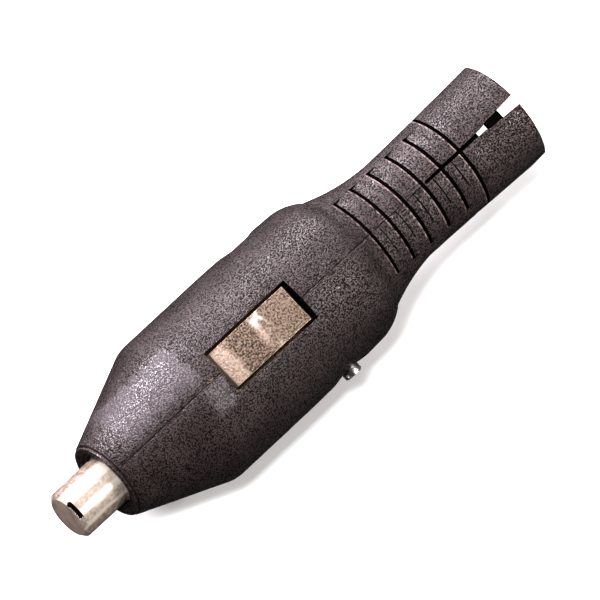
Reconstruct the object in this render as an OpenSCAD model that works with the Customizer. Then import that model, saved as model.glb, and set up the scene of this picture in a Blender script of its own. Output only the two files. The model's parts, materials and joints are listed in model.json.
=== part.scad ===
// In-line electrode holder: two moulded half shells round a brass holder body.
// The axis of the tool is X: the electrode leaves the nose along -X, the cable leaves along +X.
// The origin is on the axis, in the plane of the nose face. +Z is the thumb lever's side.
// The shells part on the plane Y = 0. The left shell is on -Y, where the screw head is.

/* [Electrode] */
// Diameter of the round electrode
rod_d = 12.7; // [12.5:0.05:12.8]
// Length of electrode that stands out of the nose
stick_out = 12.4; // [6:0.1:20]
// Length of electrode inside the holder
rod_inside = 46; // [42:0.5:46]
// Chamfer on both ends of the electrode
rod_chamfer = 1; // [0.4:0.1:1.5]

/* [Shells] */
// Radius that the cone would have in the plane of the nose face
nose_r = 10.05; // [9.8:0.05:11]
// Distance from the nose face to the edge where cone meets barrel
cone_len = 24.3; // [23:0.1:26]
// Radius of the barrel
barrel_r = 19.9; // [19.6:0.1:21]
// Radius of the barrel where its shoulder starts
shoulder_r = 19.3; // [19:0.1:19.5]
// Radius of the shoulder's round
shoulder_round = 13; // [12:0.5:14]
// Half of the neck's width where it is narrowest
neck_half_w = 12.55; // [12.4:0.05:13]
// Half of the width of the cable end
tail_half_w = 13.5; // [13:0.05:14]
// Depth of the flats along both sides of the neck
side_flat = 1.35; // [0.8:0.05:1.5]
// Distance from the nose face to the cable end
shell_len = 131.9; // [130:0.1:134]
// Thickness of the shell wall
wall = 2.6; // [2.2:0.1:2.8]
// Gap between the two shells along the seam
seam_gap = 0.18; // [0.05:0.01:0.2]
// Gap between the two shells at the cable end
tail_gap = 2.8; // [2:0.1:3.2]

/* [Grip] */
// Number of wedge cuts across the neck
cut_count = 6; // [3:1:6]
// Distance from one wedge cut to the next
cut_pitch = 6.1; // [5:0.1:6.1]
// Width of the slit at the front of a wedge cut
slit_w = 0.8; // [0.4:0.05:0.9]
// Depth of the slit
slit_depth = 1.5; // [1:0.1:1.6]
// Depth of a wedge cut behind its slit
cut_depth = 0.6; // [0.4:0.05:0.9]
// Length of a wedge cut's rising floor
cut_len = 3.5; // [2:0.1:4]
// Width across the neck that the wedge cuts reach
cut_width = 21.8; // [16:0.2:23]

/* [Thumb lever] */
// Distance from the nose face to the front of the window
window_x = 31.9; // [31:0.1:32]
// Length of the window
window_len = 26.5; // [26:0.1:27]
// Width of the window
window_w = 11.6; // [10.6:0.1:11.8]
// Width of the lever
lever_w = 10.05; // [9:0.05:10.1]
// Gap in front of the lever
lever_front_gap = 1.2; // [0.8:0.1:1.4]
// Length of the lever
lever_len = 24.1; // [23.5:0.1:24.2]
// Diameter of the lever's pivot pin
pivot_d = 3; // [2.5:0.1:3.2]

/* [Cable socket] */
// Diameter of the bore that takes the bare cable
socket_d = 13; // [10:0.5:13]
// Depth of the cable bore
socket_depth = 26; // [24:0.5:28]
// Outer diameter of the cable that the rubber sleeve takes
cable_d = 17; // [15:0.5:17.4]

/* [Screws] */
// Diameter of the screw that joins the shells
shell_screw_d = 3; // [2.5:0.5:3.5]
// Diameter of the grub screws that clamp the cable
grub_d = 6; // [5:0.5:6.5]

/* [Hidden] */
$fn = 96;

// Small clearances: eps only makes one solid run past another that it cuts.
eps = 0.5;
running = 0.05;
play = 0.1;

rod_r = rod_d / 2;
bore_r = rod_r + running;

// Outline of the shells, from nose to cable end
rim_len = 0.45;
rim_groove = 0.45;
mouth_depth = 0.8;
lip_r = rod_r + 0.6;
lip_len = 2.2;
taper_start = 50;
shoulder_x = 72.2;
step_x = 79.2;
waist_x = 98;
neck_round = 52;
flare_power = 1.4;
cone_slope = (barrel_r - nose_r) / cone_len;
shoulder_end_angle = asin((step_x - shoulder_x) / shoulder_round);

// Inside of the shells
cavity_r = barrel_r - wall;
neck_cavity_r = 10;
bush_r = 8.4;
bush_end = 10.4;
flange_r = 10.2;
flange_x = [6, 8];
rib_t = 2;
screw_x = 62.1;
screw_boss_r = 4.4;
spot_r = 5.8;
spot_y = 19.05;
dowel_r = 1.25;
dowel_len = 8;
dowel_boss_r = 2.3;
dowel_spots = [[19, 12.9], [19, -12.9], [74.5, 14.5], [74.5, -14.5]];
tongue_x = [123.3, 127.4];
tongue_r = [10.6, 12.5];
tongue_depth = 2;

// Grip
first_cut_x = 82.2;
score_w = 0.3;
score_depth = 0.35;
score_reach = 7.4;
score_x = first_cut_x + 0.52 * cut_pitch;

// Gap between the shells at the cable end: [distance from the nose face, half width]
gap_steps = [[102, 0.38], [121.5, 0.55], [122.7, 1]];

// Brass body: front sleeve, block with two cheeks, cable boss, cable tube
sleeve_x = 11;
sleeve_r = 10.5;
block_x = [28, 67.5];
socket_x = 66;
boss_x = 67;
cheek_y = 8.6;
block_z = [-15.8, 14];
block_r = 16.4;
boss_r = 12;
boss_end = 80;
tube_r = 9.6;
tube_end = socket_x + socket_depth;
socket_r = socket_d / 2;
rod_stop_x = 48;
band_x = [15, 21];
band_r = 7.1;

// Lever, measured from the nose face and the axis
lever_x = window_x + lever_front_gap;
lever_end = lever_x + lever_len;
pivot_x = 45;
pivot_z = 11;
pivot_r = pivot_d / 2;
slot_w = lever_w + 0.35;
slot_x = [window_x + 0.2, window_x + window_len - 0.4];
slot_floor = 9;
jaw_x = [34, 41.5];
jaw_top = 8.2;
jaw_w = 9.4;
jaw_pin_r = 1;
jaw_pin_z = 10.5;
tongue_w = 4;
tongue_top = 12.4;
ridge_x = 48.6;
heel_z = 12.2;
boss_round = 3.2;

// Spring under the lever's heel
spring_x = 52.5;
spring_z = [1.5, 14.2];
spring_r = 2.45;
wire_r = 0.35;
spring_turns = 6.5;
spring_pocket_r = 3.2;

// Cable clamp
grub_x = [70, 77.4];
grub_r = grub_d / 2;
grub_len = 4;
plate_x = [66.8, 80.2];
plate_w = 6;
plate_top = 7.5;

// Rubber sleeve in the neck
rubber_x = [94, 120.5];
rubber_r = 9.9;
rubber_flange_r = 10.9;
rubber_flange_len = 2;

// Half of the neck's width at a distance x from the nose face
function neck_half(x) = x < waist_x
    ? neck_half_w + neck_round - sqrt(pow(neck_round, 2) - pow(waist_x - x, 2))
    : neck_half_w
        + (tail_half_w - neck_half_w) * pow((x - waist_x) / (shell_len - waist_x), flare_power);

// Radius of the neck above and below, where it is round
function neck_radius(x) = neck_half(x) + side_flat;

// Distances from the nose face at which the neck's outline has a point
function neck_stations() = concat(
    [for (i = [0 : 10]) step_x + (waist_x - step_x) * i / 10],
    [for (i = [1 : 6]) waist_x + (shell_len - 0.5 - waist_x) * i / 6]
);

// Outline of the shells' outside: radius first, then distance from the nose face
function shell_outline() = concat(
    [[0, 0]],
    [[nose_r - 0.35, 0]],
    [[nose_r - 0.1, 0.15]],
    [[nose_r, rim_len]],
    [[nose_r - rim_groove, rim_len + 0.05]],
    [[nose_r - rim_groove, 2 * rim_len]],
    [[nose_r + 2.3 * rim_len * cone_slope, 2.3 * rim_len]],
    [[barrel_r - 1.6 * cone_slope, cone_len - 1.6]],
    [[barrel_r - 0.55 * cone_slope, cone_len - 0.4]],
    [[barrel_r, cone_len + 1.2]],
    [[barrel_r, taper_start]],
    [[barrel_r - 0.15, 57]],
    [[shoulder_r + 0.15, 68.5]],
    [for (i = [0 : 8]) let (a = i / 8 * shoulder_end_angle) [
        shoulder_r - shoulder_round * (1 - cos(a)),
        shoulder_x + shoulder_round * sin(a)
    ]],
    [for (x = neck_stations()) [neck_radius(x) - (x == step_x ? 0.25 : 0), x]],
    [[neck_radius(shell_len) - 0.45, shell_len]],
    [[0, shell_len]]
);

// Outline of the room inside the shells
function cavity_outline() = [
    [0, -eps],
    [nose_r - 0.7, -eps],
    [nose_r - 0.7, 0],
    [lip_r, mouth_depth],
    [lip_r, lip_len],
    [bush_r + play, lip_len],
    [bush_r + play, flange_x[0] - play],
    [flange_r + play, flange_x[0] - play],
    [flange_r + play, flange_x[1] + play],
    [bush_r + play, flange_x[1] + play],
    [bush_r + play, bush_end],
    [nose_r + cone_slope * bush_end - wall, bush_end],
    [cavity_r, cone_len],
    [cavity_r, 70],
    [13.2, 78],
    [boss_r + 0.4, boss_end + 0.5],
    [neck_cavity_r, boss_end + 0.5],
    [neck_cavity_r, rubber_x[1] - rubber_flange_len - play],
    [rubber_flange_r + play, rubber_x[1] - rubber_flange_len - play],
    [rubber_flange_r + play, rubber_x[1] + play],
    [neck_cavity_r, rubber_x[1] + play],
    [neck_cavity_r, shell_len + eps],
    [0, shell_len + eps]
];

// A solid turned about the X axis from an outline of [radius, x] points
module turned(outline) {
    rotate([0, 90, 0])
        rotate_extrude()
            polygon(outline);
}

// A round bar along X from x0 to x1
module bar_x(r, x0, x1) {
    translate([x0, 0, 0])
        rotate([0, 90, 0])
            cylinder(r = r, h = x1 - x0);
}

// A round bar along Y from y0 to y1, at a place on the XZ plane
module bar_y(r, x, z, y0, y1) {
    translate([x, y0, z])
        rotate([-90, 0, 0])
            cylinder(r = r, h = y1 - y0);
}

// A block from its low corner to its high corner
module block(low, high) {
    translate(low)
        cube(high - low);
}

// A turned rib with a round hole, from x0 to x0 + rib_t
module rib(hole_r, outer_r, x0) {
    difference() {
        bar_x(outer_r, x0, x0 + rib_t);
        bar_x(hole_r, x0 - eps, x0 + rib_t + eps);
    }
}

// One wedge cut: a narrow slit at x, and a floor that rises to the surface behind it
module wedge_ring(x) {
    top_r = neck_radius(x) + 2;
    turned([
        [neck_radius(x) - slit_depth, x],
        [top_r, x],
        [top_r, x + cut_len + 0.2],
        [neck_radius(x + cut_len) + 0.05, x + cut_len + 0.2],
        [neck_radius(x + slit_w) - cut_depth, x + slit_w],
        [neck_radius(x) - slit_depth, x + slit_w]
    ]);
}

// Fine score lines between the wedge cuts, from the seam a part of the way down the left shell
module score_lines() {
    intersection() {
        for (i = [0 : cut_count - 2])
            let (x = score_x + i * cut_pitch, floor_r = neck_radius(x) - score_depth)
                turned([
                    [floor_r, x],
                    [floor_r + 2, x],
                    [floor_r + 2, x + score_w],
                    [floor_r, x + score_w]
                ]);
        block([0, -score_reach, 0], [shell_len, 5, 30]);
    }
}

// All the wedge cuts. The last one, nearest the cable, runs all the way round.
module grip_cuts() {
    intersection() {
        union() {
            for (i = [0 : cut_count - 2])
                wedge_ring(first_cut_x + i * cut_pitch);
        }
        block([0, -cut_width / 2, -30], [shell_len, cut_width / 2, 30]);
    }
    wedge_ring(first_cut_x + cut_pitch * (cut_count - 1));
}

// What lies inside the flats on both sides of the neck
module between_flats() {
    stations = neck_stations();
    edge = concat([[-eps, 25], [step_x, 25]],
        [for (x = stations) [x, neck_half(x)]],
        [[shell_len + eps, neck_half(shell_len)]]
    );
    last = len(edge) - 1;
    translate([0, 0, -30])
        linear_extrude(60)
            polygon(concat(edge, [for (i = [0 : last]) [edge[last - i][0], -edge[last - i][1]]]));
}

// The gap between the shells widens in steps towards the cable end
module tail_wedge() {
    edge = concat(gap_steps, [[shell_len + eps, tail_gap / 2]]);
    last = len(edge) - 1;
    translate([0, 0, -30])
        linear_extrude(60)
            polygon(concat(edge, [for (i = [0 : last]) [edge[last - i][0], -edge[last - i][1]]]));
}

// Everything that is the same in both shells, before they are parted
module shell_pair() {
    difference() {
        union() {
            difference() {
                intersection() {
                    turned(shell_outline());
                    between_flats();
                }
                turned(cavity_outline());
            }
            rib(sleeve_r + play, nose_r + cone_slope * 13 - 1, 13);
            rib(sleeve_r + play, cavity_r + 1, 25.2);
            rib(boss_r + play, cavity_r, 67.6);
            for (side = [-1, 1])
                bar_y(screw_boss_r, screw_x, 0,
                    side > 0 ? cheek_y + play : -18.4, side > 0 ? 18.4 : -cheek_y - play);
            for (spot = dowel_spots)
                bar_y(dowel_boss_r, spot[0], spot[1], -6, 6);
        }
        block(
            [window_x, -window_w / 2, 12],
            [window_x + window_len, window_w / 2, 25]
        );
        for (side = [-1, 1])
            bar_y(spot_r, screw_x, 0, side > 0 ? spot_y : -25, side > 0 ? 25 : -spot_y);
        bar_y(shell_screw_d / 2 + play, screw_x, 0, -25, 25);
        for (spot = dowel_spots)
            bar_y(dowel_r, spot[0], spot[1], -dowel_len / 2 - 0.3, dowel_len / 2 + 0.3);
        grip_cuts();
        tail_wedge();
    }
}

// Tongues across the wedge gap, one above the axis and one below
module tongues(clear, reach) {
    for (side = [-1, 1])
        intersection() {
            difference() {
                bar_x(tongue_r[1] + clear, tongue_x[0] - clear, tongue_x[1] + clear);
                bar_x(tongue_r[0] - clear, 0, shell_len);
            }
            block(
                [0, -reach, side > 0 ? 5 : -20],
                [shell_len, 3, side > 0 ? 20 : -5]
            );
        }
}

// Shell on the screw head's side, with the pockets for the tongues
module left_shell() {
    color([0.26, 0.23, 0.22])
        difference() {
            intersection() {
                shell_pair();
                block([-5, -30, -30], [shell_len + 5, -seam_gap / 2, 30]);
            }
            tongues(play, tongue_depth + 1);
            score_lines();
        }
}

// Shell on the nut's side, with the nut's pocket and the tongues
module right_shell() {
    color([0.28, 0.25, 0.24]) {
        difference() {
            union() {
                intersection() {
                    shell_pair();
                    block([-5, seam_gap / 2, -30], [shell_len + 5, 30, 30]);
                }
                tongues(0, tongue_depth);
            }
            translate([screw_x, 16.4, 0])
                rotate([-90, 0, 0])
                    cylinder(d = 5.6 / cos(30), h = 10, $fn = 6);
        }
    }
}

// Insulating bush behind the nose lip: it guides the electrode and its flange keys into the shells
module nose_bush() {
    color([0.82, 0.78, 0.68])
        difference() {
            turned([
                [bore_r, lip_len + play],
                [bush_r, lip_len + play],
                [bush_r, flange_x[0]],
                [flange_r, flange_x[0]],
                [flange_r, flange_x[1]],
                [bush_r, flange_x[1]],
                [bush_r, bush_end - play],
                [bore_r, bush_end - play]
            ]);
            bar_x(7.4, 3.6, 5.2);
        }
}

// Rubber wiper ring in the bush's groove
module wiper_ring() {
    color([0.08, 0.08, 0.08])
        turned([
            [bore_r + 0.03, 3.8],
            [7.35, 3.8],
            [7.35, 5.0],
            [bore_r + 0.03, 5.0],
            [bore_r, 4.4]
        ]);
}

// Round electrode with chamfered ends, a ring that marks its set depth, and a nick in its rim
module electrode() {
    mark = [0, 1];
    mark_depth = 0.3;
    nick_x = -stick_out + 0.25;
    nick_len = 0.65;
    nick_y = [-2.2, 1];
    nick_z = 5.2;
    color([0.84, 0.82, 0.79])
        difference() {
            turned([
                [0, -stick_out],
                [rod_r - rod_chamfer, -stick_out],
                [rod_r, -stick_out + rod_chamfer],
                [rod_r, mark[0]],
                [rod_r - mark_depth, mark[0]],
                [rod_r - mark_depth, mark[1]],
                [rod_r, mark[1]],
                [rod_r, rod_inside - rod_chamfer],
                [rod_r - rod_chamfer, rod_inside],
                [0, rod_inside]
            ]);
            block([nick_x, nick_y[0], nick_z], [nick_x + nick_len, nick_y[1], rod_r + eps]);
        }
}

// Louvred copper band that carries the current from body to electrode
module contact_band() {
    slits = 16;
    color([0.80, 0.48, 0.28])
        difference() {
            turned([
                [bore_r, band_x[0] + 1.2],
                [band_r - 0.3, band_x[0] + play],
                [band_r, band_x[0] + play],
                [band_r, band_x[1] - play],
                [band_r - 0.3, band_x[1] - play],
                [bore_r, band_x[1] - 1.2]
            ]);
            for (i = [0 : slits - 1])
                rotate([i * 360 / slits, 0, 0])
                    block(
                        [band_x[0] + 1, -0.25, bore_r - 1],
                        [band_x[1] - 1, 0.25, band_r + 1]
                    );
            bar_y(0.4, (band_x[0] + band_x[1]) / 2, -6.8, -2, 2);
        }
}

// Hard button at the bottom of the bore, which takes the electrode's thrust
module thrust_button() {
    color([0.45, 0.46, 0.48])
        turned([
            [0, rod_inside + play],
            [rod_r - 0.6, rod_inside + play],
            [rod_r, rod_inside + 0.7],
            [rod_r, rod_stop_x],
            [0, rod_stop_x]
        ]);
}

// Outside of the brass body
module body_blank() {
    turned([
        [0, sleeve_x],
        [sleeve_r - 0.6, sleeve_x],
        [sleeve_r, sleeve_x + 0.6],
        [sleeve_r, block_x[0] + 1],
        [0, block_x[0] + 1]
    ]);
    intersection() {
        block(
            [block_x[0], -cheek_y, block_z[0]],
            [block_x[1], cheek_y, block_z[1]]
        );
        bar_x(block_r, 0, 100);
    }
    bar_x(boss_r, boss_x, boss_end);
    bar_x(tube_r, boss_end - 1, tube_end);
}

// Brass body: electrode bore, lever slot with pin cheeks, spring pocket and cable bore
module holder_body() {
    color([0.78, 0.62, 0.32])
        difference() {
            body_blank();
            bar_x(bore_r, 0, rod_stop_x);
            bar_x(band_r, band_x[0], band_x[1]);
            block([slot_x[0], -slot_w / 2, 3.4], [48.7, slot_w / 2, 25]);
            block([48, -slot_w / 2, slot_floor], [slot_x[1], slot_w / 2, 25]);
            translate([spring_x, 0, spring_z[0]])
                cylinder(r = spring_pocket_r, h = 20);
            bar_y(pivot_r, pivot_x, pivot_z, -20, 20);
            bar_y(shell_screw_d / 2 + play, screw_x, 0, -20, 20);
            bar_x(socket_r, socket_x, 120);
            block(
                [plate_x[0] - 0.3, -plate_w / 2 - 0.15, 0],
                [plate_x[1] + 0.3, plate_w / 2 + 0.15, plate_top + 0.05]
            );
            for (x = grub_x)
                translate([x, 0, 0])
                    cylinder(r = grub_r, h = 20);
        }
}

// Side view of the lever: [x, z] points
function lever_outline() = concat(
    [
        [lever_x, jaw_top],
        [lever_x, 18.2],
        [lever_x + 0.3, 18.5],
        [lever_x + 3.9, 18.86],
        [ridge_x - 0.9, 19.1],
        [ridge_x, 19.15],
        [ridge_x + 0.9, 19.12],
        [lever_end - 0.4, 18.9],
        [lever_end, 18.5],
        [lever_end, heel_z],
        [pivot_x + boss_round, heel_z]
    ],
    [for (a = [0 : 15 : 120]) [
        pivot_x + boss_round * cos(a),
        pivot_z - boss_round * sin(a)
    ]],
    [[pivot_x - boss_round * cos(60), jaw_top]]
);

// Thumb lever: its flat top fills the window, and its heel is the push pad
module clamp_lever() {
    color([0.60, 0.53, 0.46])
        difference() {
            translate([0, lever_w / 2, 0])
                rotate([90, 0, 0])
                    linear_extrude(lever_w)
                        polygon(lever_outline());
            bar_y(pivot_r + running, pivot_x, pivot_z, -10, 10);
            bar_y(jaw_pin_r, (jaw_x[0] + jaw_x[1]) / 2, jaw_pin_z, -10, 10);
            block(
                [jaw_x[0] + 0.6, -tongue_w / 2 - 0.05, 0],
                [jaw_x[1] - 0.6, tongue_w / 2 + 0.05, tongue_top + 0.1]
            );
            translate([spring_x, 0, 0])
                cylinder(r = spring_pocket_r, h = spring_z[1]);
        }
}

// Copper jaw: hollow face on the electrode, tongue up into the lever
module jaw_pad() {
    color([0.78, 0.47, 0.30])
        difference() {
            union() {
                block(
                    [jaw_x[0], -jaw_w / 2, 4.2],
                    [jaw_x[1], jaw_w / 2, jaw_top - 0.02]
                );
                block(
                    [jaw_x[0] + 0.8, -tongue_w / 2, jaw_top - 1],
                    [jaw_x[1] - 0.8, tongue_w / 2, tongue_top]
                );
            }
            bar_x(rod_r + play, 0, 60);
            bar_y(jaw_pin_r, (jaw_x[0] + jaw_x[1]) / 2, jaw_pin_z, -10, 10);
        }
}

// Pin that holds the jaw's tongue in the lever
module jaw_pin() {
    color([0.62, 0.63, 0.65])
        bar_y(jaw_pin_r, (jaw_x[0] + jaw_x[1]) / 2, jaw_pin_z, -lever_w / 2 + 0.2, lever_w / 2 - 0.2);
}

// Pivot pin of the lever, with a clip groove at each end
module lever_pin() {
    pin_half = 10.2;
    groove_y = cheek_y + play;
    color([0.70, 0.71, 0.73])
        difference() {
            bar_y(pivot_r, pivot_x, pivot_z, -pin_half, pin_half);
            for (side = [-1, 1])
                difference() {
                    bar_y(pivot_r + 1, pivot_x, pivot_z,
                        side > 0 ? groove_y : -groove_y - 0.6,
                        side > 0 ? groove_y + 0.6 : -groove_y);
                    bar_y(pivot_r - 0.35, pivot_x, pivot_z, -15, 15);
                }
        }
}

// Two open retaining clips on the pivot pin
module pin_clips() {
    clip_y = cheek_y + play + 0.05;
    clip_t = 0.5;
    color([0.30, 0.31, 0.33])
        for (side = [-1, 1])
            difference() {
                bar_y(2.8, pivot_x, pivot_z,
                    side > 0 ? clip_y : -clip_y - clip_t,
                    side > 0 ? clip_y + clip_t : -clip_y);
                bar_y(pivot_r - 0.35, pivot_x, pivot_z, -15, 15);
                block([pivot_x - 0.9, -15, pivot_z - 4], [pivot_x + 0.9, 15, pivot_z]);
            }
}

// Points of one round wire section at each step along the spring
function spring_sections(steps, sides) = [
    for (i = [0 : steps])
        let (
            t = i / steps,
            dead = 0.13,
            climb = min(max((t - dead) / (1 - 2 * dead), 0), 1),
            a = 360 * spring_turns * t,
            low = spring_z[0] + wire_r + 0.03,
            high = spring_z[1] - wire_r - 0.03,
            pitch_end = wire_r * 2.05,
            z = low + (high - low - 2 * dead * spring_turns * pitch_end) * climb
                + dead * spring_turns * pitch_end * (min(t / dead, 1) + max((t - 1 + dead) / dead, 0))
        )
        [for (k = [0 : sides - 1])
            let (b = 360 * k / sides, r = spring_r + wire_r * cos(b))
            [r * cos(a), r * sin(a), z + wire_r * sin(b)]
        ]
];

// Compression spring under the lever's heel
module lever_spring() {
    steps = 130;
    sides = 6;
    sections = spring_sections(steps, sides);
    points = [for (section = sections) for (p = section) p];
    walls = [
        for (i = [0 : steps - 1])
            for (k = [0 : sides - 1])
                let (
                    a = i * sides + k,
                    b = i * sides + (k + 1) % sides
                )
                [a, a + sides, b + sides, b]
    ];
    ends = [
        [for (k = [0 : sides - 1]) k],
        [for (k = [0 : sides - 1]) steps * sides + sides - 1 - k]
    ];
    color([0.55, 0.56, 0.58])
        translate([spring_x, 0, 0])
            polyhedron(points = points, faces = concat(walls, ends), convexity = 10);
}

// Slotted screw through both shells and the brass body
module shell_screw() {
    head_r = 2.3;
    head_h = 1.9;
    color([0.80, 0.80, 0.80])
        difference() {
            union() {
                bar_y(shell_screw_d / 2, screw_x, 0, -spot_y, 18.8);
                bar_y(head_r, screw_x, 0, -spot_y - head_h + 0.3, -spot_y);
                bar_y(head_r - 0.35, screw_x, 0, -spot_y - head_h, -spot_y);
            }
            translate([screw_x, -spot_y - head_h, 0])
                rotate([0, 35, 0])
                    block([-5, -1, -0.4], [5, 0.9, 0.4]);
        }
}

// Hexagon nut in the right shell's pocket
module shell_nut() {
    color([0.72, 0.72, 0.72])
        difference() {
            translate([screw_x, 16.45, 0])
                rotate([-90, 0, 0])
                    cylinder(d = 5.5 / cos(30), h = 2.3, $fn = 6);
            bar_y(shell_screw_d / 2, screw_x, 0, 0, 30);
        }
}

// Dowels that line up the two shells
module shell_dowels() {
    color([0.66, 0.67, 0.69])
        for (spot = dowel_spots)
            bar_y(dowel_r, spot[0], spot[1], -dowel_len / 2, dowel_len / 2);
}

// Grub screws with a hexagon socket, which press the plate on the cable
module grub_screws() {
    color([0.25, 0.25, 0.27])
        for (x = grub_x)
            translate([x, 0, plate_top])
                difference() {
                    union() {
                        cylinder(r = grub_r - 0.8, h = grub_len);
                        translate([0, 0, 0.8])
                            cylinder(r = grub_r, h = grub_len - 0.8);
                    }
                    translate([0, 0, grub_len - 2.4])
                        cylinder(d = 3 / cos(30), h = 5, $fn = 6);
                }
}

// Plate between the grub screws and the cable: its underside continues the cable bore
module pressure_plate() {
    color([0.75, 0.58, 0.30])
        difference() {
            block(
                [plate_x[0], -plate_w / 2, 4],
                [plate_x[1], plate_w / 2, plate_top - 0.02]
            );
            bar_x(socket_r, 0, 120);
        }
}

// Rubber sleeve in the neck, which grips the cable's jacket
module cable_sleeve() {
    bead_r = cable_d / 2;
    color([0.07, 0.07, 0.07])
        difference() {
            union() {
                bar_x(rubber_r, rubber_x[0], rubber_x[1]);
                bar_x(rubber_flange_r, rubber_x[1] - rubber_flange_len, rubber_x[1]);
            }
            bar_x(bead_r, 0, 150);
        }
}

left_shell();
right_shell();
nose_bush();
wiper_ring();
electrode();
contact_band();
thrust_button();
holder_body();
clamp_lever();
jaw_pad();
jaw_pin();
lever_pin();
pin_clips();
lever_spring();
shell_screw();
shell_nut();
shell_dowels();
grub_screws();
pressure_plate();
cable_sleeve();
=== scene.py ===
"""Looks of the in-line electrode holder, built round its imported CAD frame. All sizes are in metres."""
import json
import math

import bmesh
import bpy
from mathutils import Matrix, Vector


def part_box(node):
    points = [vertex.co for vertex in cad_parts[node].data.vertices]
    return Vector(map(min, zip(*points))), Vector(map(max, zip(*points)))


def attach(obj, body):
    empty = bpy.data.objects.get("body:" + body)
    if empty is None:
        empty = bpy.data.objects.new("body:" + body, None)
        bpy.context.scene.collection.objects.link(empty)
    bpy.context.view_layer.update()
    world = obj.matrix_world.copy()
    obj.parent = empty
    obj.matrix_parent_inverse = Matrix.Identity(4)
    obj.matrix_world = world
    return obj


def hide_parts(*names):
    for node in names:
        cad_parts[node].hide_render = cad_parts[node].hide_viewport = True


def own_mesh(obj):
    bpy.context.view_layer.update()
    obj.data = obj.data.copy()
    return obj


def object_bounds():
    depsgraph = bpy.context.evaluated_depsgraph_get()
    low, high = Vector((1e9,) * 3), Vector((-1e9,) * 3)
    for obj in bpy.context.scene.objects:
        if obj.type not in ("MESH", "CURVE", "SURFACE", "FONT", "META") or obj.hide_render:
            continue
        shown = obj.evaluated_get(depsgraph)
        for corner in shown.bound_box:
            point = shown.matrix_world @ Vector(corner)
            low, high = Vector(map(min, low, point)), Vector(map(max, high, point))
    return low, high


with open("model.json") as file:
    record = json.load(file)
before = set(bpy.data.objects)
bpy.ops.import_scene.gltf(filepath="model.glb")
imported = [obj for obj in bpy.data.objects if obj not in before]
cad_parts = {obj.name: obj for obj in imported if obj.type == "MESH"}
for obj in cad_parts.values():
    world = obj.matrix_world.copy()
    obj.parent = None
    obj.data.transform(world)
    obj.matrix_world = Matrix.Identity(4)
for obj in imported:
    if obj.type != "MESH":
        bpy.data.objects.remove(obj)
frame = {"nodes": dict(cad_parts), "record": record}
cad_low, cad_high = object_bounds()

MM = 0.001
RECORD = frame["record"]


# ---------------------------------------------------------------- node helpers

class Nodes:
    """Builds one node material from short calls."""

    def __init__(self, name):
        self.material = bpy.data.materials.new(name)
        self.material.use_nodes = True
        self.tree = self.material.node_tree
        self.tree.nodes.clear()
        self.output = self.tree.nodes.new("ShaderNodeOutputMaterial")
        self.shader = self.tree.nodes.new("ShaderNodeBsdfPrincipled")
        self.link(self.shader.outputs["BSDF"], self.output.inputs["Surface"])
        self.coordinates = self.tree.nodes.new("ShaderNodeTexCoord").outputs["Object"]

    def link(self, source, target):
        """Feeds a socket from another socket, or sets it to a plain value."""
        if isinstance(source, bpy.types.NodeSocket):
            self.tree.links.new(source, target)
        else:
            target.default_value = source

    def set(self, **values):
        """Sets the shader's own sockets; underscores stand for spaces."""
        for name, value in values.items():
            self.link(value, self.shader.inputs[name.replace("_", " ")])

    def scaled(self, scale):
        """Object coordinates, stretched by scale along each axis."""
        mapping = self.tree.nodes.new("ShaderNodeMapping")
        self.link(self.coordinates, mapping.inputs["Vector"])
        mapping.inputs["Scale"].default_value = scale
        return mapping.outputs["Vector"]

    def noise(self, size, detail=3.0, roughness=0.55, stretch=(1, 1, 1), distortion=0.0):
        """Noise whose blobs are about size metres across."""
        node = self.tree.nodes.new("ShaderNodeTexNoise")
        self.link(self.scaled(tuple(s / size for s in stretch)), node.inputs["Vector"])
        node.inputs["Scale"].default_value = 1.0
        node.inputs["Detail"].default_value = detail
        node.inputs["Roughness"].default_value = roughness
        node.inputs["Distortion"].default_value = distortion
        return node.outputs["Fac"]

    def cells(self, size, smooth):
        """Distance to the nearest of a field of points about size metres apart."""
        node = self.tree.nodes.new("ShaderNodeTexVoronoi")
        node.feature = "SMOOTH_F1"
        self.link(self.scaled((1 / size, 1 / size, 1 / size)), node.inputs["Vector"])
        node.inputs["Scale"].default_value = 1.0
        node.inputs["Randomness"].default_value = 1.0
        node.inputs["Smoothness"].default_value = smooth
        return node.outputs["Distance"]

    def ramp(self, value, low, high, out_low=0.0, out_high=1.0):
        """Maps low..high to out_low..out_high, clamped."""
        node = self.tree.nodes.new("ShaderNodeMapRange")
        self.link(value, node.inputs["Value"])
        node.inputs["From Min"].default_value = low
        node.inputs["From Max"].default_value = high
        node.inputs["To Min"].default_value = out_low
        node.inputs["To Max"].default_value = out_high
        return node.outputs["Result"]

    def math(self, operation, a, b):
        """One arithmetic step on two values, each a socket or a number."""
        node = self.tree.nodes.new("ShaderNodeMath")
        node.operation = operation
        self.link(a, node.inputs[0])
        self.link(b, node.inputs[1])
        return node.outputs["Value"]

    def mix(self, factor, a, b):
        """Colour a where factor is 0, colour b where it is 1."""
        node = self.tree.nodes.new("ShaderNodeMix")
        node.data_type = "RGBA"
        self.link(factor, node.inputs["Factor"])
        self.link(self.colour(a), node.inputs[6])
        self.link(self.colour(b), node.inputs[7])
        return node.outputs[2]

    @staticmethod
    def colour(value):
        """Adds the alpha that a colour socket needs."""
        return (*value, 1.0) if isinstance(value, tuple) and len(value) == 3 else value

    def axis(self, name):
        """One object coordinate: X, Y or Z."""
        node = self.tree.nodes.new("ShaderNodeSeparateXYZ")
        self.link(self.coordinates, node.inputs["Vector"])
        return node.outputs[name]

    def bump(self, height, distance, strength, under=None):
        """Bump from a height field, on top of another bump if one is given."""
        node = self.tree.nodes.new("ShaderNodeBump")
        self.link(height, node.inputs["Height"])
        node.inputs["Distance"].default_value = distance
        node.inputs["Strength"].default_value = strength
        if under is not None:
            self.link(under, node.inputs["Normal"])
        return node.outputs["Normal"]


# The places below are in millimetres, x along the axis from the nose face, y across and z up.
# MM turns them into metres.

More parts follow.
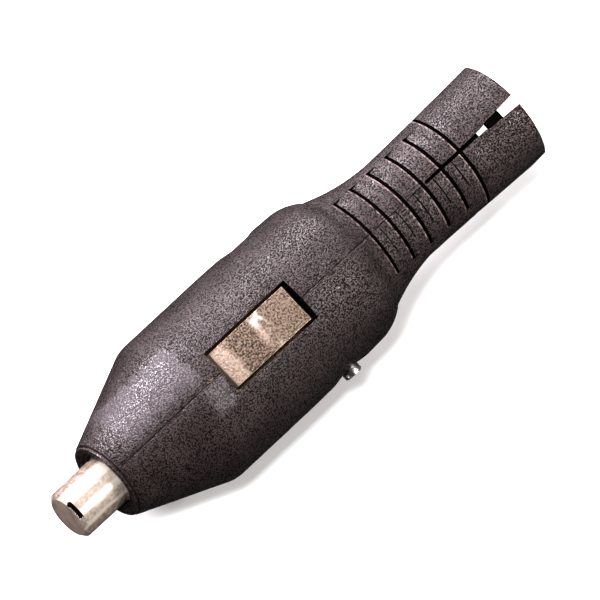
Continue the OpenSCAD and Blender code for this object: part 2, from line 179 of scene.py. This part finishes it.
# Grip of the neck: six slits, evenly spaced, with score lines between them
FIRST_SLIT, SLIT_PITCH, SLIT_W = 82.2, 6.1, 0.8
LAST_SLIT = 5 * SLIT_PITCH        # from the first slit
SCORE = (3.1, 3.5)                # from the slit before it
CUT_HALF_W = 10.9                 # half the length of a wedge cut; the last slit has no ends
CUT_FLOOR = 11.5                  # faces of the cuts lie outside this radius
SKIN = 0.12                       # faces this near to the neck's surface are part of it
NEAR = 0.1                        # a face this near to a wall's place is part of the wall

# Outline of the neck above and below
WAIST_X, NECK_HALF_W, NECK_ROUND, SIDE_FLAT = 98.0, 12.55, 52.0, 1.35
FLARE_LENGTH, FLARE_RISE, FLARE_POWER = 33.9, 0.95, 1.4

# Gap at the cable end, and the tongue that bridges it
GAP_X, GAP_HALF_W, TONGUE_X = 101.8, 1.45, (123.2, 127.5)

# Window of the lever: its ends along the axis, and half its width
WINDOW_X, WINDOW_HALF_W = (31.9, 58.4), 5.8

# Painted shade behind each slit of the grip and a painted highlight on the edge before it: where their
# masks fade in or out
GRIP_START, GRIP_END = (-0.5, -0.45), (31.8, 32.6)      # from the first slit
WHOLE_WIDTH = (29.9, 30.0)                              # from the first slit: no ends past here
# Painted shade behind each slit: where it fades out, and how far its edge wanders
SLIT_SHADE_FADE, SLIT_SHADE_WANDER = (1.02, 1.22), 0.06             # from the slit before it
# Painted highlight on the edge before each slit: where it fades in
EDGE_HIGHLIGHT_FADE = (SLIT_PITCH - 0.42, SLIT_PITCH - 0.32)      # from the slit before it

# Painted highlight patches on the shells: x from and to, y from and to, fade, how much
HIGHLIGHT_PATCHES = ((8.0, 27.0, 4.0, 13.0, 4.0, 0.6), (25.8, 30.6, -6.6, -0.6, 0.8, 0.55))

# Dark bands along the rod, at places across it: from, to, how dark
DARK_ROD_BANDS = ((-6.6, -4.9, 0.95), (-3.9, -2.6, 0.75), (-0.4, 1.1, 0.65), (4.7, 6.6, 1.0))

# Top of the lever: where the smooth front strip, painted paler as a highlight, fades out, the painted
# highlight along the ridge fades in and out, and the rear in
STRIP_END, REAR_START = (36.4, 37.8), (47.5, 49.0)
RIDGE_RISE, RIDGE_FALL = (44.4, 46.4), (48.2, 49.0)

# Near-black of the painted shade in the shells' grain pits and behind the slits
SHADE_BLACK = (0.0012, 0.0008, 0.0007)


# ------------------------------------------------------------------- materials

def slit_shade_and_highlight(n):
    """Masks for the painted shade behind each slit of the grip and the painted highlight on the edge
    before it.
    """
    def fade(value, span, out_low=0.0, out_high=1.0):
        """A ramp across a span of millimetres."""
        return n.ramp(value, span[0] * MM, span[1] * MM, out_low, out_high)

    # step is the distance from the last slit; inside is 1 on the part that the slits cross
    along = n.math("SUBTRACT", n.axis("X"), FIRST_SLIT * MM)
    step = n.math("FLOORED_MODULO", along, SLIT_PITCH * MM)
    inside = n.math("MULTIPLY", fade(along, GRIP_START), fade(along, GRIP_END, 1.0, 0.0))
    across = n.math("ABSOLUTE", n.axis("Y"), 0.0)
    cut = fade(across, (CUT_HALF_W, CUT_HALF_W + 0.1), 1.0, 0.0)
    cut = n.math("MAXIMUM", cut, fade(along, WHOLE_WIDTH))
    inside = n.math("MULTIPLY", inside, cut)
    # noise that makes the painted shade's edge wander and breaks up the painted highlight line
    breakup_noise = n.noise(0.8 * MM, detail=2.0)
    reach = n.math("ADD", step, n.ramp(breakup_noise, 0.3, 0.7, -SLIT_SHADE_WANDER * MM, SLIT_SHADE_WANDER * MM))
    behind = n.math("MULTIPLY", inside, fade(reach, SLIT_SHADE_FADE, 1.0, 0.0))
    before = n.math("MULTIPLY", inside, fade(step, EDGE_HIGHLIGHT_FADE))
    return behind, n.math("MULTIPLY", before, n.ramp(breakup_noise, 0.42, 0.6, 0.0, 0.8))


def shell_plastic():
    """Brown-black moulding with a fine spark texture, with painted highlight patches in places before
    the window.

    Pits of the grain and the strips behind the slits are painted near-black as shade, and made slightly
    metallic there so that they have no gloss.
    """
    n = Nodes("shell_plastic")
    grain = n.noise(0.37 * MM, detail=2.0, roughness=0.55, distortion=0.3)
    blobs = n.cells(0.48 * MM, smooth=0.25)
    patches = n.noise(7 * MM, detail=3.0)
    wobble = n.ramp(n.noise(2.2 * MM, detail=2.0), 0.3, 0.7, -0.8 * MM, 0.8 * MM)
    # painted highlight: lilac-grey patches, with fewer pits, where the cone and the barrel's front catch
    # the light
    highlight_patch_mask = 0.0
    for x0, x1, y0, y1, fade, amount in HIGHLIGHT_PATCHES:
        patch = amount
        for axis, low, high in (("X", x0, x1), ("Y", y0, y1)):
            at = n.math("ADD", n.axis(axis), wobble)
            patch = n.math("MULTIPLY", patch, n.ramp(at, (low - fade) * MM, low * MM))
            patch = n.math("MULTIPLY", patch, n.ramp(at, high * MM, (high + 0.6) * MM, 1.0, 0.0))
        highlight_patch_mask = n.math("MAXIMUM", highlight_patch_mask, patch)
    height = n.math("SUBTRACT", n.ramp(grain, 0.36, 0.60), n.ramp(blobs, 0.10, 0.62, 0.0, 0.6))
    tips = n.math("MAXIMUM", n.ramp(height, -0.10, 0.25), n.math("MULTIPLY", highlight_patch_mask, 0.7))
    tint = n.mix(n.ramp(patches, 0.35, 0.65), (0.0200, 0.0140, 0.0134), (0.0300, 0.0222, 0.0213))
    tint = n.mix(highlight_patch_mask, tint, (0.060, 0.052, 0.057))
    # painted shade: the grain's pits go near-black
    tint = n.mix(tips, SHADE_BLACK, tint)
    # painted shade: near-black behind each slit; painted highlight: a paler line on the edge before each
    # slit
    shade_behind_slit, highlight_before_slit = slit_shade_and_highlight(n)
    tint = n.mix(shade_behind_slit, tint, SHADE_BLACK)
    tint = n.mix(highlight_before_slit, tint, (0.150, 0.112, 0.108))
    n.set(
        Base_Color=tint,
        Metallic=n.math("MAXIMUM", shade_behind_slit, n.ramp(tips, 0.0, 0.8, 0.42, 0.0)),
        Roughness=n.math("MAXIMUM", n.ramp(tips, 0.0, 1.0, 0.70, 0.31), shade_behind_slit),
        Normal=n.bump(height, 0.078 * MM, 1.0),
        Specular_IOR_Level=0.5,
        IOR=1.5,
    )
    return n.material


def recess_shade_plastic():
    """The same moulding inside narrow slits, painted black as shade."""
    n = Nodes("recess_shade_plastic")
    shade_mottle = n.noise(0.6 * MM, detail=2.0)
    n.set(
        Base_Color=n.mix(shade_mottle, (0.0015, 0.0012, 0.0012), (0.004, 0.003, 0.003)),
        Roughness=0.9,
        Specular_IOR_Level=0.05,
    )
    return n.material


def edge_highlight_plastic():
    """Moulded edges with a painted highlight: a paler, redder tone where they catch the light."""
    n = Nodes("edge_highlight_plastic")
    highlight_breakup = n.noise(1.6 * MM, detail=3.0)
    n.set(
        Base_Color=n.mix(n.ramp(highlight_breakup, 0.35, 0.65), (0.08, 0.048, 0.045), (0.21, 0.135, 0.13)),
        Roughness=0.42,
        Normal=n.bump(highlight_breakup, 0.02 * MM, 0.5),
    )
    return n.material


def plated_rod():
    """Bright plate with turning marks and darker brown-grey bands along the axis."""
    n = Nodes("plated_rod")
    turned = n.noise(0.22 * MM, detail=2.0, stretch=(1, 0.02, 0.02))
    wander = n.noise(2.6 * MM, detail=3.0, roughness=0.6, stretch=(0.25, 1, 1))
    specks = n.noise(0.8 * MM, detail=3.0, roughness=0.6)
    side = n.math("ADD", n.axis("Y"), n.ramp(wander, 0.3, 0.7, -0.5 * MM, 0.5 * MM))
    dark_bands = 0.0
    for low, high, depth in DARK_ROD_BANDS:
        rise = n.ramp(side, (low - 0.4) * MM, low * MM, 0.0, depth)
        fall = n.ramp(side, high * MM, (high + 0.4) * MM, 1.0, 0.0)
        dark_bands = n.math("MAXIMUM", dark_bands, n.math("MULTIPLY", rise, fall))
    dark_bands = n.math("MULTIPLY", dark_bands, n.ramp(specks, 0.34, 0.56, 0.45, 1.0))
    colour = n.mix(dark_bands, (0.29, 0.266, 0.235), (0.088, 0.065, 0.047))
    n.set(
        Base_Color=colour,
        Metallic=n.ramp(dark_bands, 0.0, 1.0, 0.40, 0.20),
        Roughness=n.ramp(dark_bands, 0.0, 1.0, 0.30, 0.52),
        Normal=n.bump(turned, 0.010 * MM, 0.5),
    )
    return n.material


def rod_end():
    """The rod's end face: matt brown-pink oxide."""
    n = Nodes("rod_end")
    blotch = n.noise(2.4 * MM, detail=4.0)
    pits = n.noise(0.5 * MM, detail=3.0)
    colour = n.mix(n.ramp(blotch, 0.35, 0.68), (0.160, 0.123, 0.100), (0.096, 0.071, 0.057))
    n.set(
        Base_Color=colour,
        Metallic=0.2,
        Roughness=0.55,
        Normal=n.bump(pits, 0.05 * MM, 0.6),
    )
    return n.material


def cast_metal():
    """Lever: a smooth front strip painted paler as a highlight, then rough brown-grey casting, with a
    painted highlight along the ridge.
    """
    n = Nodes("cast_metal")
    lumps = n.noise(0.50 * MM, detail=2.0, roughness=0.5, distortion=0.3)
    crust = n.cells(0.7 * MM, smooth=0.25)
    broad = n.noise(3.0 * MM, detail=2.0)
    along = n.math("ADD", n.axis("X"), n.ramp(broad, 0.3, 0.7, -0.7 * MM, 0.7 * MM))
    # painted highlight: the front strip and the ridge are painted paler; the strip is also smoother
    strip = n.ramp(along, STRIP_END[0] * MM, STRIP_END[1] * MM, 1.0, 0.0)
    rise = n.ramp(along, RIDGE_RISE[0] * MM, RIDGE_RISE[1] * MM)
    fall = n.ramp(along, RIDGE_FALL[0] * MM, RIDGE_FALL[1] * MM, 1.0, 0.0)
    ridge = n.math("MULTIPLY", rise, fall)
    ridge = n.math("MULTIPLY", ridge, n.ramp(broad, 0.42, 0.56, 0.25, 1.0))
    smooth = n.math("MAXIMUM", strip, ridge)
    rear = n.ramp(n.axis("X"), REAR_START[0] * MM, REAR_START[1] * MM)
    rough = n.mix(n.ramp(lumps, 0.40, 0.60), (0.010, 0.007, 0.005), (0.105, 0.077, 0.057))
    rear_rough = n.mix(n.ramp(lumps, 0.38, 0.58), (0.022, 0.015, 0.011), (0.112, 0.084, 0.064))
    rough = n.mix(rear, rough, rear_rough)
    highlight_tone = n.mix(n.ramp(lumps, 0.38, 0.60), (0.118, 0.089, 0.071), (0.180, 0.142, 0.117))
    # painted highlight: a brighter wedge on the ridge, towards +y
    wedge = n.math("MULTIPLY", n.ramp(n.axis("Y"), 1.2 * MM, 3.4 * MM), ridge)
    highlight_tone = n.mix(wedge, highlight_tone, (0.29, 0.26, 0.23))
    surface = n.bump(n.ramp(lumps, 0.30, 0.70), 0.13 * MM, 0.9)
    surface = n.bump(crust, 0.08 * MM, 0.5, under=surface)
    n.set(
        Base_Color=n.mix(smooth, rough, highlight_tone),
        Metallic=0.25,
        Roughness=n.ramp(smooth, 0.0, 1.0, 0.60, 0.45),
        Normal=surface,
    )
    return n.material


def rubbed_metal():
    """Edges of the lever where hands have polished it."""
    n = Nodes("rubbed_metal")
    scuffs = n.noise(0.9 * MM, detail=3.0)
    n.set(
        Base_Color=n.mix(n.ramp(scuffs, 0.35, 0.65), (0.50, 0.40, 0.33), (0.80, 0.71, 0.62)),
        Metallic=0.5,
        Roughness=n.ramp(scuffs, 0.3, 0.7, 0.42, 0.28),
        Normal=n.bump(scuffs, 0.04 * MM, 0.5),
    )
    return n.material


def metal(name, colour, roughness, dull=0.75):
    """A plain machined or plated metal with faint tool marks and dull patches."""
    n = Nodes(name)
    marks = n.noise(0.3 * MM, detail=3.0)
    patches = n.noise(3 * MM, detail=3.0)
    shade = tuple(c * dull for c in colour)
    n.set(
        Base_Color=n.mix(n.ramp(patches, 0.35, 0.65), colour, shade),
        Metallic=1.0,
        Roughness=n.ramp(patches, 0.3, 0.7, roughness, roughness + 0.12),
        Normal=n.bump(marks, 0.02 * MM, 0.5),
    )
    return n.material


def matt(name, colour, roughness, grain, depth, specular=0.5):
    """Rubber or ceramic: a matt body with a fine grain of the given size and depth."""
    n = Nodes(name)
    texture = n.noise(grain, detail=3.0)
    shade = tuple(c * 0.7 for c in colour)
    n.set(
        Base_Color=n.mix(n.ramp(texture, 0.35, 0.65), shade, colour),
        Roughness=n.ramp(texture, 0.3, 0.7, roughness, roughness + 0.1),
        Normal=n.bump(texture, depth, 0.6),
        Specular_IOR_Level=specular,
    )
    return n.material


def floor_paper():
    """Plain grey studio floor, which the wash light brings up to white."""
    n = Nodes("floor_paper")
    n.set(Base_Color=(0.50, 0.52, 0.52, 1.0), Roughness=0.9, Specular_IOR_Level=0.0)
    return n.material


LOOKS = {
    "shell_plastic": shell_plastic(),
    "electrode_metal": plated_rod(),
    "lever_cast": cast_metal(),
    "body_brass": metal("body_brass", (0.72, 0.52, 0.26), 0.30),
    "contact_copper": metal("contact_copper", (0.80, 0.42, 0.26), 0.28),
    "bush_ceramic": matt("bush_ceramic", (0.62, 0.57, 0.47), 0.55, 0.4 * MM, 0.03 * MM),
    "rubber_black": matt(
        "rubber_black", (0.009, 0.008, 0.008), 0.80, 0.3 * MM, 0.03 * MM, specular=0.15
    ),
    "steel_plated": metal("steel_plated", (0.78, 0.77, 0.76), 0.24, dull=0.85),
    "steel_dark": metal("steel_dark", (0.10, 0.10, 0.11), 0.42),
    "spring_steel": metal("spring_steel", (0.48, 0.48, 0.50), 0.28),
}
ROD_END = rod_end()
RUBBED = rubbed_metal()
# black painted shade for the slits, gaps, window walls and the rod's nick
RECESS_SHADE = recess_shade_plastic()
# painted highlight for the shells' rounded edges
EDGE_HIGHLIGHT = edge_highlight_plastic()


# ---------------------------------------------------------------------- pieces

def node_slot(node):
    """The record's material slot of a CAD node."""
    return next(s["material_slot"] for s in RECORD["subparts"] if s["node"] == node)


def node_body(node):
    """The body that a CAD node rides on."""
    bodies = RECORD["behaviour"]["bodies"]
    return next(body for body, members in bodies.items() if node in members)


def neck_radius(x):
    """Radius of the neck above and below, in millimetres, at x millimetres from the nose face."""
    if x < WAIST_X:
        half = NECK_HALF_W + NECK_ROUND - math.sqrt(NECK_ROUND**2 - (WAIST_X - x) ** 2)
    else:
        half = NECK_HALF_W + FLARE_RISE * ((x - WAIST_X) / FLARE_LENGTH) ** FLARE_POWER
    return half + SIDE_FLAT


def in_window_wall(point, normal):
    """True for the four walls of the window, for a point in millimetres."""
    if point.z < 10 or abs(point.y) > WINDOW_HALF_W + NEAR:
        return False
    if not WINDOW_X[0] - NEAR < point.x < WINDOW_X[1] + NEAR:
        return False
    across = abs(abs(point.y) - WINDOW_HALF_W) < NEAR and abs(normal.y) > 0.9
    from_end = min(abs(point.x - WINDOW_X[0]), abs(point.x - WINDOW_X[1]))
    return across or (from_end < NEAR and abs(normal.x) > 0.9)


def in_recess(face):
    """True for the slits and score lines of the grip, the tail gap's walls and the window's walls."""
    centre = face.calc_center_median() / MM
    radius = math.hypot(centre.y, centre.z)
    if centre.x > GAP_X and abs(centre.y) < GAP_HALF_W and abs(face.normal.y) > 0.9:
        return True
    if TONGUE_X[0] < centre.x < TONGUE_X[1] and abs(centre.y) < GAP_HALF_W:
        return radius < neck_radius(centre.x) - 0.3
    if in_window_wall(centre, face.normal):
        return True
    along = centre.x - FIRST_SLIT
    if not -0.05 < along < LAST_SLIT + SLIT_W + 0.05:
        return False
    if abs(centre.y) > CUT_HALF_W + 0.2 and along < LAST_SLIT - 0.05:
        return False
    step = along % SLIT_PITCH
    between = 0.03 < step - SLIT_W and step < SLIT_PITCH - 0.03
    if between and not SCORE[0] < step < SCORE[1]:
        return False
    return CUT_FLOOR < radius < neck_radius(centre.x) - SKIN


def edge_in_recess(face):
    """True for rounded edges on the dark side of a slit and at the ends of the wedge cuts."""
    centre = face.center / MM
    along = centre.x - FIRST_SLIT
    wedge = 4.2                   # how far the shallow side of a cut reaches past its slit
    if not -0.3 < along < LAST_SLIT + wedge:
        return False
    step = along % SLIT_PITCH
    if abs(abs(centre.y) - CUT_HALF_W) < 0.25 and step < wedge:
        return True
    return 0.2 < step < SLIT_W + 0.2


def bevelled(node, name, width, angle, materials, segments=2, pick=None, crisp=None):
    """Stands for a CAD node: the same solid with its sharp edges rounded by width.

    The rounded edges take the last material, and pick(face) gives the other faces' index. Edges
    sharper than angle degrees are rounded, unless crisp(point) is true for their middle.
    """
    mesh = bpy.data.meshes.new(name)
    work = bmesh.new()
    work.from_mesh(frame["nodes"][node].data)
    bmesh.ops.remove_doubles(work, verts=work.verts, dist=0.002 * MM)
    bmesh.ops.dissolve_degenerate(work, edges=work.edges, dist=0.002 * MM)
    work.normal_update()
    if pick is not None:
        for face in work.faces:
            face.material_index = pick(face)
    sharp = [
        e for e in work.edges
        if len(e.link_faces) == 2
        and e.calc_face_angle(0.0) > math.radians(angle)
        and not (crisp is not None and crisp((e.verts[0].co + e.verts[1].co) / 2 / MM))
    ]
    bmesh.ops.bevel(
        work,
        geom=sharp,
        offset=width,
        offset_type="OFFSET",
        segments=segments,
        profile=0.5,
        affect="EDGES",
        clamp_overlap=True,
        material=len(materials) - 1,
        harden_normals=False,
    )
    for face in work.faces:
        face.smooth = True
    work.to_mesh(mesh)
    work.free()
    mesh.set_sharp_from_angle(angle=math.radians(32))
    piece = bpy.data.objects.new(name, mesh)
    bpy.context.scene.collection.objects.link(piece)
    for material in materials:
        mesh.materials.append(material)
    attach(piece, node_body(node))
    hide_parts(node)
    return piece


def in_nick(point):
    """True inside the small nick near the rod's rim, for a point in millimetres."""
    return -12.25 < point.x < -11.4 and abs(point.y) < 2.4 and point.z > 5.1


def rod_face(face):
    """Material index of a face of the rod: 2 in the nick, 1 on the end face, 0 on its side."""
    centre = face.calc_center_median() / MM
    if in_nick(centre):
        return 2
    return 1 if face.normal.x < -0.9 and centre.x < -10 else 0


def coil_spring():
    """Smooth spring with closed ends in place of the faceted one; it rides on the same body as the
    faceted one.
    """
    low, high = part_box("lever_spring")
    centre = (low + high) / 2
    wire, radius, turns = 0.35 * MM, 2.45 * MM, 6.5      # wire is the wire's own radius
    closed = 0.13                                        # share of the turns closed at each end
    closed_pitch = 2.05 * wire
    steps, sides = 416, 14
    bottom, top = low.z + wire, high.z - wire
    seat = closed * turns * closed_pitch
    verts = []
    for i in range(steps + 1):
        t = i / steps
        climb = min(max((t - closed) / (1 - 2 * closed), 0.0), 1.0)
        ends = min(t / closed, 1.0) + max((t - 1 + closed) / closed, 0.0)
        z = bottom + (top - bottom - 2 * seat) * climb + seat * ends
        angle = math.tau * turns * t
        for k in range(sides):
            round_wire = math.tau * k / sides
            out = radius + wire * math.cos(round_wire)
            verts.append((
                centre.x + out * math.cos(angle),
                centre.y + out * math.sin(angle),
                z + wire * math.sin(round_wire),
            ))
    faces = []
    for i in range(steps):
        for k in range(sides):
            a, b = i * sides + k, i * sides + (k + 1) % sides
            faces.append((a, a + sides, b + sides, b))
    faces.append(tuple(range(sides)))
    faces.append(tuple(steps * sides + sides - 1 - k for k in range(sides)))
    mesh = bpy.data.meshes.new("coil_spring")
    mesh.from_pydata(verts, [], faces)
    mesh.update()
    for face in mesh.polygons:
        face.use_smooth = len(face.vertices) == 4
    mesh.materials.append(LOOKS["spring_steel"])
    piece = bpy.data.objects.new("coil_spring", mesh)
    bpy.context.scene.collection.objects.link(piece)
    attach(piece, node_body("lever_spring"))
    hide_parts("lever_spring")
    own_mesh(piece)


def paint_frame():
    """Gives every CAD node its slot's material."""
    for node, piece in frame["nodes"].items():
        material = LOOKS[node_slot(node)]
        if not piece.data.materials:
            piece.data.materials.append(material)
        for i in range(len(piece.material_slots)):
            piece.material_slots[i].material = material


paint_frame()

# The shells' rounded edges get the painted highlight, but not inside the slits, where they take the
# painted shade, and not at the right shell's seam
plastic = [LOOKS["shell_plastic"], RECESS_SHADE, EDGE_HIGHLIGHT]
for side in ("left", "right"):
    shell = bevelled(f"{side}_shell", f"shell_{side}", 0.10 * MM, 33, plastic, pick=in_recess)
    for face in shell.data.polygons:
        if face.material_index == 2 and edge_in_recess(face):
            face.material_index = 1
        elif face.material_index == 2 and side == "right" and abs(face.center.y) < 0.5 * MM:
            face.material_index = 0

# the rod's nick takes the black painted shade
rod = [LOOKS["electrode_metal"], ROD_END, RECESS_SHADE, LOOKS["electrode_metal"]]
bevelled("electrode", "electrode_rod", 0.45 * MM, 30, rod, segments=4, pick=rod_face, crisp=in_nick)
bevelled("clamp_lever", "thumb_lever", 0.35 * MM, 40, [LOOKS["lever_cast"], RUBBED], segments=3)
bevelled("shell_screw", "slotted_screw", 0.12 * MM, 30, [LOOKS["steel_plated"]])
bevelled("grub_screws", "socket_grub_screws", 0.15 * MM, 30, [LOOKS["steel_dark"]])
bevelled("cable_sleeve", "rubber_sleeve", 0.35 * MM, 30, [LOOKS["rubber_black"]], segments=3)
bevelled("nose_bush", "insulating_bush", 0.2 * MM, 30, [LOOKS["bush_ceramic"]])
coil_spring()


# ------------------------------------------------------- floor, camera, lights

CAD_CENTRE = (cad_low + cad_high) / 2
FLOOR_Z = cad_low.z


def add_floor():
    """A wide square floor that doesn't show in glossy reflections."""
    size = 6.0
    mesh = bpy.data.meshes.new("floor")
    corners = [(-size, -size), (size, -size), (size, size), (-size, size)]
    mesh.from_pydata([(x, y, FLOOR_Z) for x, y in corners], [], [(0, 1, 2, 3)])
    floor = bpy.data.objects.new("floor", mesh)
    bpy.context.scene.collection.objects.link(floor)
    mesh.materials.append(floor_paper())
    floor.visible_glossy = False


# The camera looks down on the window's side, a little from the nose and from the left shell,
# through a long lens, and it is rolled so that the tool rises to the right.
TO_CAMERA = Vector((-0.342, -0.020, 0.9395)).normalized()
ROLL = math.radians(42.95)
LENS = 1000.0                     # a longer one would put the part past the clip end of other views
SENSOR = 36.0
VIEW_WIDTH = 0.138
AIM = CAD_CENTRE + Vector((0.00515, 0.00078, 0.0))
CLIP = (0.01, 50.0)
WORLD_STRENGTH = 0.06

# Lights: name, direction from the tool's middle, distance, size, power, colour, shows in gloss
LIGHTS = (
    ("key", (-0.20, 0.90, 0.385), 0.7, (0.28, 0.15), 14.0, (1.0, 0.93, 1.0), True),
    ("side", (0.54, 0.81, 0.22), 0.7, (0.25, 0.16), 5.5, (1.0, 0.93, 0.98), True),
    ("front", (0.574, -0.709, 0.41), 0.7, (0.25, 0.18), 1.6, (1.0, 0.93, 0.90), True),
    ("fill", (0.40, -0.37, 0.84), 0.7, (0.20, 0.16), 4.0, (1.0, 0.93, 0.92), True),
    ("floor_wash", (-0.34, 0.18, 0.925), 1.6, (0.33, 0.33), 64.0, (1.0, 1.0, 1.0), False),
)


def add_camera():
    """Camera at the distance where its view is VIEW_WIDTH wide at the tool."""
    data = bpy.data.cameras.new("camera")
    data.lens = LENS
    data.sensor_width = SENSOR
    camera = bpy.data.objects.new("camera", data)
    bpy.context.scene.collection.objects.link(camera)
    along = (Vector((1, 0, 0)) - TO_CAMERA * TO_CAMERA.x).normalized()
    across = TO_CAMERA.cross(along)
    right = along * math.cos(ROLL) - across * math.sin(ROLL)
    up = along * math.sin(ROLL) + across * math.cos(ROLL)
    distance = VIEW_WIDTH * LENS / SENSOR
    place = Matrix((right, up, TO_CAMERA)).transposed().to_4x4()
    place.translation = AIM + TO_CAMERA * distance
    camera.matrix_world = place
    data.clip_start, data.clip_end = CLIP
    bpy.context.scene.camera = camera


def add_light(name, direction, distance, size, power, colour, glossy):
    """A soft rectangle that faces the tool's middle from a direction."""
    data = bpy.data.lights.new(name, "AREA")
    data.shape = "RECTANGLE"
    data.size, data.size_y = size
    data.energy = power
    data.color = colour
    light = bpy.data.objects.new(name, data)
    bpy.context.scene.collection.objects.link(light)
    back = Vector(direction).normalized()
    side = Vector((1, 0, 0))
    side = (side - back * back.dot(side)).normalized()
    place = Matrix((side, back.cross(side), back)).transposed().to_4x4()
    place.translation = CAD_CENTRE + back * distance
    light.matrix_world = place
    light.visible_camera = False
    light.visible_glossy = glossy


def add_world():
    """A faint even light from all round."""
    world = bpy.data.worlds.new("studio")
    world.use_nodes = True
    background = world.node_tree.nodes["Background"]
    background.inputs["Color"].default_value = (1.0, 1.0, 1.0, 1.0)
    background.inputs["Strength"].default_value = WORLD_STRENGTH
    bpy.context.scene.world = world


add_floor()
add_camera()
add_world()
for light in LIGHTS:
    add_light(*light)
bpy.context.scene.view_settings.view_transform = "Standard"
bpy.context.scene.view_settings.look = "High Contrast"
